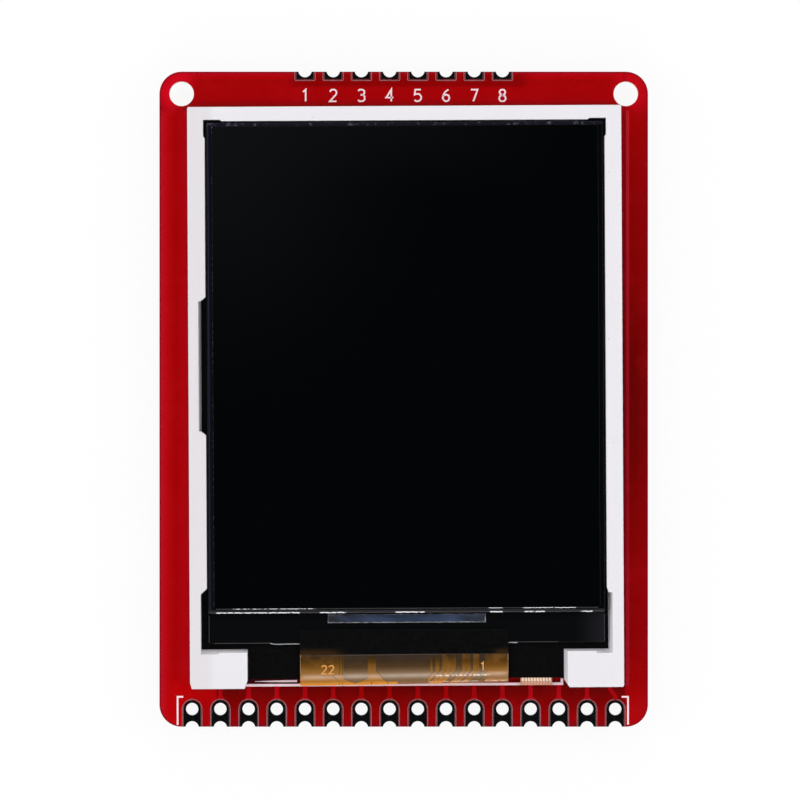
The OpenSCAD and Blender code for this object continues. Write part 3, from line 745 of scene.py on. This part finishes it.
flex_amber = Finish("amber_flex", flex_colour, lambda f: 0.4 - flex_copper(f) * 0.08,
                    (lambda f: flex_copper(f) * 0.6 + f.noise(1.4, 3) * 0.4, 0.012),
                    Specular_IOR_Level=0.15, Coat_Weight=0.12, Coat_Roughness=0.2)
flex_mark = Finish("bare_copper_mark", mottled(7, 3, (236, 172, 92), (206, 132, 60)), 0.35,
                   grain(8, 2, 0.008))
lip_highlight = Finish("tape_edge_highlight", lip_colour, 0.4, grain(6, 2, 0.004))
pale_gold = Finish("tinned_gold", lamp_land_colour, uneven(6, 2, 0.15, 0.3), grain(5, 2, 0.006))
plain_amber = Finish("amber_film", lamp_flex_colour, 0.3, grain(2, 3, 0.01), Coat_Weight=0.5)
gold_plate = Finish("gold_plate", mottled(4, 3, (212, 164, 104), (232, 190, 136)), uneven(6, 2, 0.15, 0.2),
                    grain(5, 2, 0.008), Metallic=0.6)
foam_grey = Finish("white_foam_tape", mottled(6, 4, (222, 222, 220), (190, 190, 188)), 0.85,
                   grain(9, 3, 0.04))
white_film = Finish("white_film", mottled(0.6, 3, (236, 238, 240), (220, 224, 228)), 0.35, grain(4, 3, 0.004))
clear_guide = Finish("clear_guide", mottled(0.5, 2, (206, 222, 228), (222, 234, 238)), 0.12,
                     (lambda f: f.axis("X").repeat(0.5) + f.axis("Y").repeat(0.5), 0.02))
prism_film = Finish("prism_film", mottled(0.5, 2, (198, 202, 208), (216, 220, 226)), 0.2,
                    (lambda f: f.axis("Y").repeat(0.05), 0.02))
lamp_case = Finish("lamp_case", mottled(1.5, 3, (238, 232, 196), (244, 240, 222)), 0.4, grain(6, 2, 0.006))


def dimple(f):
    """Depth of the round moulded mark at each shifter's first pin, plus the moulding's grain."""
    left, right = (distance(f.axis("X"), f.axis("Y"), (x - 2.7, y - 1.8)) for x, y, _ in SHIFTERS)
    return left.lesser(right).past(0.38, 0.16) + f.noise(16, 3) * 0.12


black_mould = Finish("black_moulding", mottled(5, 4, (26, 26, 28), (40, 40, 43)), uneven(8, 3, 0.25, 0.45),
                     (dimple, 0.12))
socket_black = Finish("black_socket_resin", mottled(3, 3, (18, 18, 20), (30, 30, 32)),
                      uneven(6, 3, 0.2, 0.35), grain(12, 2, 0.01))
shell_steel = Finish("drawn_steel", mottled(3, 4, (176, 178, 180), (206, 207, 208), stretch=(0.2, 4, 1)),
                     uneven(2.5, 4, 0.2, 0.22, stretch=(0.2, 5, 1)),
                     grain(3, 4, 0.006, stretch=(0.15, 6, 1)), Metallic=1)
lead_tin = Finish("tinned_lead", mottled(6, 3, (182, 184, 188), (212, 213, 214)), uneven(8, 3, 0.2, 0.2),
                  grain(10, 2, 0.01), Metallic=1)
solder_tin = Finish("solder", mottled(3, 3, (186, 188, 192), (222, 223, 224)), uneven(5, 3, 0.2, 0.14),
                    grain(6, 2, 0.012), Metallic=1)
track_back = Finish("mask_over_back_copper", mottled(1.5, 3, (184, 10, 24), (204, 26, 40)), mask_gloss,
                    grain(2.2, 3, 0.004))
via_dark = Finish("plugged_via", mottled(9, 2, (96, 4, 10), (60, 4, 8)), 0.3, grain(9, 2, 0.006))
capacitor_tan = Finish("fired_ceramic", mottled(7, 4, (176, 140, 100), (150, 112, 76)), 0.4,
                       grain(12, 3, 0.01))
resistor_black = Finish("glazed_resistor", mottled(5, 3, (20, 20, 22), (34, 34, 38)), 0.25,
                        grain(7, 2, 0.01), Coat_Weight=0.4)


# ---- CAD nodes with rounded corners ----

for node, finish, slot, radius in (
        ("circuit_board", board_red, "board_red", 0.05),
        ("header_pads", dull_tin, "plated_land", 0.012),
        ("edge_pads", dull_tin, "plated_land", 0.012),
        ("backlight_frame", frame_white, "frame_white", 0.11),
        ("array_glass", cell_glass, "cell_glass", 0.012),
        ("filter_glass", cell_glass, "cell_glass", 0.015),
        ("front_polarizer", screen_film, "polarizer_dark", 0.01),
        ("driver_chip", driver_blue, "driver_silicon", 0.01),
        ("flex_cover", black_tape, "tape_black", 0.006),
        ("mounting_tape", foam_grey, "foam_tape", 0.06),
        ("socket_base", socket_black, "socket_black", 0.05),
        ("socket_shell", shell_steel, "shell_steel", 0.05),
        ("shifter_bodies", black_mould, "chip_black", 0.04),
        ("regulator_body", black_mould, "chip_black", 0.05),
        ("transistor_body", black_mould, "chip_black", 0.04),
        ("capacitor_bodies", capacitor_tan, "capacitor_tan", 0.03),
        ("capacitor_ends", lead_tin, "lead_tin", 0.06),
        ("resistor_bodies", resistor_black, "resistor_black", 0.02),
        ("resistor_ends", lead_tin, "lead_tin", 0.04),
        ("array_bodies", resistor_black, "resistor_black", 0.02),
        ("array_ends", lead_tin, "lead_tin", 0.04)):
    softened(node, finish, radius)

for node, finish in {
        "flex_pads": gold_plate, "reflector_sheet": white_film, "light_guide": clear_guide,
        "diffuser_sheet": white_film, "lower_prism_sheet": prism_film, "upper_prism_sheet": prism_film,
        "lamp_flex": plain_amber, "backlight_lamps": lamp_case, "rim_tape": black_tape,
        "rear_polarizer": screen_film, "socket_contacts": gold_plate, "shifter_leads": lead_tin,
        "regulator_leads": lead_tin, "transistor_leads": lead_tin}.items():
    dress(node, finish)


# ---- The display flex ----

def folded_flex():
    """The flex as rings of points across X: straight on the ledge, half a turn round the lower rail and
    straight back; angle is how far it has turned. The fold runs slightly askew: its place in Y shifts evenly
    from one side to the other. The map holds X and the length run from the bond, both in mm."""
    bond, fold, tail = -20.9, -24.85, -18.4
    half, radius = 0.05, 0.905
    columns, askew = np.linspace(FLEX_LEFT, FLEX_RIGHT, 41), np.linspace(-0.13, 0.09, 41)
    angle = np.concatenate([np.zeros(12), np.linspace(0, np.pi, 41)[1:-1], np.full(14, np.pi)])
    along = np.concatenate([np.linspace(bond, fold, 12), np.full(39, fold), np.linspace(fold, tail, 14)])
    share = np.concatenate([np.linspace(0, 1, 12), np.ones(39), np.linspace(1, 0, 14)])
    y, z = along - radius * np.sin(angle), FLEX_TOP - half - radius + radius * np.cos(angle)
    length = np.concatenate([[0], np.cumsum(np.hypot(np.diff(y), np.diff(z)))])

    def skin(offset):
        """One face of the flex, offset from its middle."""
        rows = (columns[None, :], (y - offset * np.sin(angle))[:, None] + share[:, None] * askew,
                (z + offset * np.cos(angle))[:, None])
        return np.stack(np.broadcast_arrays(*rows), -1)

    across = np.concatenate([columns, columns[::-1]])
    uv = np.stack([np.tile(across, len(y)), np.repeat(length, len(across))], 1)
    return tube(np.concatenate([skin(half), skin(-half)[:, ::-1]], 1)), uv


flex, flex_map = folded_flex()
piece("display_flex_folded", placed(flex), flex_amber, uv=flex_map, stands_for=["display_flex"])


# ---- Edges of the glass, the driver, the tape and the two flexes ----

# The film's cut edge and the front glass's snapped one, on either side of a bare strip
piece("snapped_edges", placed(gather([
    ragged((-17.15, -18.98), (17.2, -18.98), bar(0.09, 0.1, 0.2), FILTER_TOP - 0.01, 0.015, 3),
    ragged((-17.7, -19.33), (17.7, -19.33), bar(0.1, 0.03, 0.2), FILTER_TOP - 0.01, 0.02, 4)])),
    broken_edge)

# Resin squeezed out round the driver, thin on the far side
DRIVER = [(-7.025, -19.55), (-7.025, -20.2), (7.025, -20.2), (7.025, -19.55)]
FILLET = [(-0.09, 0), (0.0, 0), (0.0, 0.3), (-0.03, 0.24)]
resin = run(DRIVER, FILLET, ARRAY_TOP, closed=True, width=[0.5, 1.0, 1.0, 0.9])
piece("driver_resin", placed(resin), resin_grey)

# The rear glass's ground edge in stretches, partly a painted highlight; chipped beside the flex, with a
# painted glint
GROUND, CHIP_GLINT = bar(0.06, 0.012), bar(0.08, 0.02)
piece("ground_edges", placed(gather([
    ragged((-17.77, -19.6), (-17.77, -21.98), GROUND, ARRAY_TOP, 0.01, 5),
    ragged((-17.3, -22.06), (-12.3, -22.06), GROUND, ARRAY_TOP, 0.01, 6),
    ragged((17.77, -19.6), (17.77, -21.98), GROUND, ARRAY_TOP, 0.01, 7),
    ragged((9.25, -22.06), (13.6, -22.06), GROUND, ARRAY_TOP, 0.01, 8)])),
    frosted_and_lit_edge)
piece("chip_glints", placed(gather([
    ragged((-12.3, -22.07), (-11.9, -22.17), CHIP_GLINT, ARRAY_TOP - 0.01, 0.01, 9, 0.1),
    ragged((-11.9, -22.17), (-9.65, -22.15), CHIP_GLINT, ARRAY_TOP - 0.01, 0.015, 10),
    ragged((9.15, -22.1), (9.95, -22.12), CHIP_GLINT, ARRAY_TOP - 0.01, 0.015, 11)])),
    chip_glint_finish)

# The cover tape's lip, coloured as a painted highlight, and the flex's cut sides where they catch light
lip = run([(FLEX_LEFT, -23.24), (FLEX_RIGHT, -23.06)], bar(0.07, 0.02), FLEX_TOP)
sides = [run(np.stack([np.full(9, x), np.linspace(-23.1, -24.9, 9)], 1), bar(0.03, 0.012), FLEX_TOP)
         for x in (FLEX_LEFT + 0.015, FLEX_RIGHT - 0.015)]
piece("flex_edge_lines", placed(gather([lip, *sides])), lip_highlight, smooth=False)

# Plated lands at the end of the lamps' flex, and the slanting ends of their tracks
steps = [0.27 * k for k in range(10)]
lands = [run([(10.42 + x, -25.33), (10.42 + x, -25.63)], bar(0.18, 0.02), 0.1) for x in steps]
lands += [run([(10.36 + x, -25.95), (10.52 + x, -25.7)], bar(0.09, 0.02), 0.1) for x in steps]
piece("lamp_flex_lands", placed(gather(lands)), pale_gold, smooth=False)


# ---- Tracks, mask openings and print on the front ----

def teardrop(x, top=-25.7, pad=-27.0, wide=0.38):
    """A track down to a header pad, where it widens to two and a half times."""
    y = [top, pad + 0.4, pad + 0.22, pad + 0.1, pad]
    path = np.stack([np.full(5, x), y], 1)
    return run(path, bar(wide, 0.03, 0.8 * wide), BOARD_TOP, width=[1, 1, 1.15, 1.6, 2.5])


tracks = [teardrop(x) for x in HEADER_X[1:-1]]
for wide, *corners in ((0.36, (18.3, -25.55), (18.55, -26.05), (19.05, -26.75), (19.1, -27.05)),
                       (0.3, (20.15, -25.8), (20.15, 26.0))):
    tracks.append(run(corners, bar(wide, 0.03), BOARD_TOP))
piece("front_tracks", gather(tracks), trace_red, smooth=False)

RIM, RIM_END = bar(0.055, 0.02), BOARD_END - 0.03
# One side of a castellated land's opening, as (across, Y): cut corner on the front, square on the back
CUT_CORNER = [(0.92, RIM_END), (0.92, 28.78), (0.86, 28.7)]
SQUARE_CORNER = [(0.92, RIM_END), (0.92, 28.7)]


def header_opening(x, half=0.89, deep=1.57):
    """Edge of the mask round a header land: up one side, half round the hole and down the other."""
    round_end = arc((x, deep - RIM_END), half, 180, 0, 20)
    return np.vstack([[(x - half, -RIM_END)], round_end, [(x + half, -RIM_END)]])


def edge_opening(x, side):
    """Edge of the mask round a castellated land: one side, and the same mirrored."""
    return [(x - across, y) for across, y in side] + [(x + across, y) for across, y in side[::-1]]


def mask_rims(side, section, z):
    """The edges of all the mask openings on one face."""
    return gather([run(header_opening(x), section, z) for x in HEADER_X]
                  + [run(edge_opening(x, side), section, z) for x in EDGE_X])


# the raised edges of the mask round the lands, coloured as a painted highlight
piece("mask_openings", mask_rims(CUT_CORNER, RIM, BOARD_TOP), mask_edge_highlight, smooth=False)

# Plain digits drawn with a pen, in a field 0.8 wide and 1.4 tall
STROKES = {
    "0": [[(0, .3), (.1, .1), (.3, 0), (.5, 0), (.7, .1), (.8, .3), (.8, 1.1), (.7, 1.3), (.5, 1.4),
           (.3, 1.4), (.1, 1.3), (0, 1.1), (0, .3)]],
    "1": [[(.15, 1.12), (.48, 1.4), (.48, 0)]],
    "2": [[(0, 1.15), (.1, 1.3), (.25, 1.4), (.55, 1.4), (.75, 1.25), (.8, 1.05), (.72, .8), (0, 0),
           (.8, 0)]],
    "3": [[(0, 1.25), (.2, 1.4), (.55, 1.4), (.75, 1.25), (.75, .95), (.55, .78), (.3, .76)],
          [(.55, .78), (.78, .6), (.8, .25), (.6, .03), (.2, 0), (0, .15)]],
    "4": [[(.6, 0), (.6, 1.4), (0, .45), (.85, .45)]],
    "5": [[(.75, 1.4), (.1, 1.4), (.03, .8), (.3, .9), (.6, .85), (.8, .6), (.8, .3), (.6, .05), (.25, 0),
           (0, .15)]],
    "6": [[(.7, 1.4), (.35, 1.2), (.1, .8), (0, .4), (.15, .1), (.4, 0), (.7, .1), (.8, .4), (.7, .7),
           (.4, .82), (.1, .65)]],
    "7": [[(0, 1.4), (.8, 1.4), (.3, 0)]],
    "8": [[(.4, .76), (.12, .9), (.05, 1.15), (.2, 1.37), (.4, 1.4), (.6, 1.37), (.75, 1.15), (.68, .9),
           (.4, .76), (.08, .6), (0, .3), (.15, .05), (.4, 0), (.65, .05), (.8, .3), (.72, .6), (.4, .76)]],
    "9": [[(.1, 0), (.45, .2), (.7, .6), (.8, 1), (.65, 1.3), (.4, 1.4), (.1, 1.3), (0, 1), (.1, .7),
           (.4, .58), (.7, .75)]],
}


def digits(text, at, tall, section, z, side=1):
    """A number's strokes, centred at a point; with side -1 they read from below the board."""
    scale = tall / 1.4
    shapes = []
    for k, sign in enumerate(text):
        start = ((k - (len(text) - 1) / 2) * 1.25 - 0.4) * scale
        for stroke in STROKES[sign]:
            line = np.array(stroke) * scale + (start, -tall / 2)
            shapes.append(run(line * (side, 1) + at, section, z))
    return shapes


def numbers(places, y, tall, section, z, side=1):
    """A row of lands' numbers, from 1 up."""
    made = (digits(str(i + 1), (x, y), tall, section, z, side) for i, x in enumerate(places))
    return [stroke for number in made for stroke in number]


INK = bar(0.16, 0.018)
ink_and_streak = [run([(-19.85, -26.8), (-20.36, -26.8), (-20.36, -29.33)], INK, BOARD_TOP),
       run([(19.62, -26.8), (20.2, -26.8), (20.2, -29.3)], INK, BOARD_TOP),
       run([(-14.2, -25.765), (14.25, -25.615), (14.25, -25.13)], bar(0.24, 0.04), BOARD_TOP),
       # painted highlight: a pale tapering streak below the tape's edge, left of the flex, in the white ink
       run([(-13.4, -25.42), (-11.4, -25.4), (-9.6, -25.38)], bar(0.2, 0.03), BOARD_TOP,
           width=[0.2, 0.8, 1.0])]
ink_and_streak += numbers(EDGE_X, 27.35, 1.05, bar(0.15, 0.018), BOARD_TOP)
piece("front_print_and_streak", gather(ink_and_streak), silk_white, smooth=False)

# Copper left bare in the flex's cover film, as plain numbers
for text, x, y in (("22", -7.13, -24.48), ("1", 6.8, -24.25)):
    number = gather(digits(text, (x, y), 0.72, bar(0.12, 0.012), FLEX_TOP))
    piece("flex_number_" + text, placed(number), flex_mark, smooth=False)


# ---- Lands and solder on the back ----

def on_back(points, part):
    """Points measured from a back part's own centre, with up away from the board, to board millimetres:
    half a turn about X, then the part's turn about Z."""
    c, s = math.cos(math.radians(part[2])), math.sin(math.radians(part[2]))
    x, y, z = points.T
    return np.stack([part[0] + x * c + y * s, part[1] + x * s - y * c, BOARD_LOW - z], 1)


def hang(section):
    """A section turned over, to lie under the board."""
    return [(x, -z) for x, z in section]


def solder(part, toward, aside, inner, reach, wide, tall, spread=0.35):
    """A tinned land under one foot, from inner to past reach, with the solder drawn up the foot's end: its
    height falls from tall with the square of the distance left to the land's end, and it narrows as it
    rises. toward is the way the foot points, in degrees from the part's own +Y."""
    share, film = np.linspace(0, 1, 6), 0.03
    end = reach + spread + 0.12
    out = np.concatenate([[inner, end, end], (reach + spread * share)[::-1], [reach - 0.04, inner]])
    up = np.concatenate([[0, 0, film], (film + (tall - film) * (1 - share) ** 2)[::-1], [film, film]])
    half = wide / 2 - 0.25 * wide * (up / max(up.max(), 0.1)) * (up > 0.035)
    c, s = math.cos(math.radians(toward)), math.sin(math.radians(toward))
    return tube([on_back(np.stack([x * c - out * s, x * s + out * c, up], 1), part)
                 for x in (aside - half, aside + half)])


# Parts, the ways their feet point, the places of the feet aside, and each land's size as solder takes it
FEET = [(SHIFTERS, (0, 180), SHIFTER_FEET, (2.95, 3.9, 0.4, 0.14)),
        ([REGULATOR], [0], (-2.3, 0, 2.3), (2.5, 3.5, 1.0, 0.24)),
        ([REGULATOR], [180], [0], (2.5, 3.5, 3.4, 0.24)),
        ([TRANSISTOR], [0], (-0.95, 0.95), (0.85, 1.3, 0.7, 0.11)),
        ([TRANSISTOR], [180], [0], (0.85, 1.3, 0.7, 0.11)),
        (CAPACITORS, (90, -90), [0], (0.45, 1.0, 1.3, 0.75)),
        (RESISTORS, (90, -90), [0], (0.35, 0.8, 0.85, 0.34)),
        (ARRAYS, (0, 180), ARRAY_FEET, (0.45, 0.8, 0.5, 0.38, 0.25)),
        ([SOCKET], [180], [-along for along in SOCKET_FEET], (7.5, 8.1, 0.7, 0.13)),
        ([SOCKET], [90], (-5.0, 5.1), (6.85, 7.4, 1.5, 0.18)),
        ([SOCKET], [-90], (5.0, -5.1), (6.85, 7.4, 1.5, 0.18))]
joints = [solder(part, toward, aside, *land) for parts, ways, places, land in FEET
          for part in parts for toward in ways for aside in places]
piece("solder_joints", gather(joints), solder_tin)


# ---- Tracks and vias on the back ----

THIN, WIDE = hang(bar(0.2, 0.03)), hang(bar(0.6, 0.03))
routes, vias = [], []


def route(*corners, section=THIN):
    """Adds a track through the corners."""
    routes.append(run(corners, section, BOARD_LOW))


def to_via(*corners):
    """Adds a thin track through the corners, with a via at its end."""
    route(*corners)
    vias.append(corners[-1])


# Header pins to every other foot of the shifters' near rows: straight up, slanted, straight in
near_feet = [x + foot for x, _, _ in SHIFTERS for foot in SHIFTER_FEET[::2]]
for pin, foot in zip(HEADER_X[1:11], near_feet):
    route((pin, -27.1), (pin, -20.6 - abs(foot - pin)), (foot, -20.6), (foot, -19.5))
# The far rows to vias, each a little further up than the one before
for x, _, _ in SHIFTERS:
    for k, foot in enumerate(SHIFTER_FEET[::2]):
        rise = -9.4 + 0.55 * k
        to_via((x + foot, -10.9), (x + foot, rise), (x + foot + 1.2, rise + 1.2))
# Right-hand pins slant to a bundle that runs up past the shifters
for k, pin in enumerate(HEADER_X[11:15]):
    lane, low, top = 14.9 + 0.7 * k, -24.4 + 1.5 * k, -0.9 + 0.9 * k
    to_via((pin, -27.1), (pin, low), (lane, low + lane - pin), (lane, top), (lane - 1.0, top + 1.0))
# Socket contacts to the resistor arrays
array_ends = [y + foot for _, y, _ in ARRAYS for foot in ARRAY_FEET]
for foot, end in zip(SOCKET_FEET, array_ends):
    y = SOCKET[1] + foot
    route((5.5, y), (4.2, y), (4.2 - abs(y - end), end), (-0.05, end))
# The castellated row to vias: each stops lower than the last on the left, and higher on the right
for i, x in enumerate(EDGE_X):
    low = 24.6 - 0.5 * i if i < 4 else 21.6 + 0.5 * i
    to_via((x, 28.6), (x, low + 1.2), (x + 1.2, low))
# The arrays' other ends to vias, staggered
for i, foot in enumerate(ARRAY_FEET):
    for _, y, _ in ARRAYS:
        to_via((-2.5, y + foot), (-3.4 - 0.3 * (i % 2), y + foot))
# Supply: wide tracks from the regulator to its capacitors and down to the shifters
for corners in (
        [(-13.2, 18.6), (-13.2, 19.6)],
        [(-15.5, 10.7), (-15.5, 9.1), (-14.6, 9.1)],
        [(-10.9, 10.7), (-10.9, 9.1), (-11.8, 9.1)],
        [(-13.2, 10.7), (-13.2, 7.6), (-16.9, 3.9), (-16.9, -7.9)],
        [(-16.9, -11.2), (-16.9, -13.4), (-18.4, -14.9), (-18.4, -24.6), (-19.05, -25.25), (-19.05, -26.9)]):
    route(*corners, section=WIDE)
# The transistor to its two resistors and to a capacitor
route((-2.55, 4.9), (-2.55, 6.4), (-4.6, 6.4), (-4.6, 4.6))
route((-0.65, 4.9), (-0.65, 5.6), (1.6, 5.6), (1.6, 4.6))
route((-1.6, 1.5), (-1.6, -2.8), (-1.9, -3.1), (-1.9, -7.9))
# Resistors and capacitors to vias
for corners in (
        [(-1.9, -11.2), (-1.9, -13.0), (-1.2, -13.7), (-1.2, -18.3)],
        [(3.2, 1.8), (3.2, -1.6), (5.0, -3.4)],
        [(10.9, -16.6), (10.9, -20.4), (9.6, -21.7)],
        [(12.5, -13.8), (12.5, -8.2), (11.2, -6.9)],
        [(-6.2, 16.2), (-6.2, 18.4), (-7.6, 19.8)],
        [(-6.2, 13.0), (-6.2, 9.0)]):
    to_via(*corners)
piece("back_tracks", gather(routes), track_back, smooth=False)

# Vias that no track on the back runs to
vias += [(-18.9, 20.0), (-18.9, 16.0), (-18.9, 12.0), (-19.4, 4.0), (-19.4, -4.0), (18.9, -2.0), (18.9, -6.0),
         (-8.6, 4.0), (-8.6, 0.0), (8.0, -1.0), (14.2, 22.6), (-17.0, 24.6), (-12.0, 24.6)]


def plug(at):
    """A small disc in a via, with a dimple: rings of (radius, depth)."""
    return tube([np.column_stack([circle(at, radius), np.full(16, BOARD_LOW - deep)])
                 for radius, deep in ((0.18, 0.0), (0.18, 0.02), (0.054, 0.006))])


via_rings = [run(circle(at, 0.26), hang(bar(0.2, 0.035)), BOARD_LOW, closed=True) for at in vias]
piece("via_rings", gather(via_rings), track_back, smooth=False)
piece("via_plugs", gather([plug(at) for at in vias]), via_dark, smooth=False)


# ---- Mask openings and print on the back ----

# the same edges on the back, also coloured as a painted highlight
back_rims = mask_rims(SQUARE_CORNER, hang(RIM), BOARD_LOW)
piece("back_mask_openings", back_rims, mask_edge_highlight, smooth=False)

INK_BACK = hang(bar(0.15, 0.045))


def mark(*corners):
    """A printed line through the corners."""
    return run(corners, INK_BACK, BOARD_LOW)


def twice(part, *corners):
    """A printed line measured from a part's centre, and the same turned half round the part."""
    x, y, _ = part
    return [mark(*((x + side * across, y + side * along) for across, along in corners)) for side in (1, -1)]


def bracket(part, across, along):
    """Lines at a part's two ends, each with a tick at one corner."""
    return (twice(part, (-across, -along), (across, -along))
            + twice(part, (-across, -along), (-across, 0.5 - along)))


marks = []
for part in SHIFTERS:
    marks += twice(part, (-3.75, -3.0), (-3.75, 3.0))
    marks.append(run(circle((part[0] - 3.75, part[1] - 4.0), 0.22, 12), INK_BACK, BOARD_LOW, closed=True))
for part in CAPACITORS:
    marks += bracket(part, 1.05, 1.9) if part[2] else bracket(part, 1.9, 1.05)
for part in RESISTORS:
    marks += bracket(part, 0.7, 1.6)
for part in ARRAYS:
    marks += twice(part, (-1.5, -2.0), (1.5, -2.0))
marks += twice(REGULATOR, (-3.6, -1.7), (-3.6, 1.7)) + twice(TRANSISTOR, (-1.75, -0.9), (-1.75, 0.9))
for end, inward in ((4.3, 6.0), (19.7, 18.0)):
    marks += [mark((6.3, end), (21.6, end)), mark((6.3, end), (6.3, inward))]
marks += numbers(HEADER_X, -25.7, 0.95, INK_BACK, BOARD_LOW, side=-1)
marks += numbers(EDGE_X, 27.3, 1.05, INK_BACK, BOARD_LOW, side=-1)
piece("back_print", gather(marks), silk_white, smooth=False)
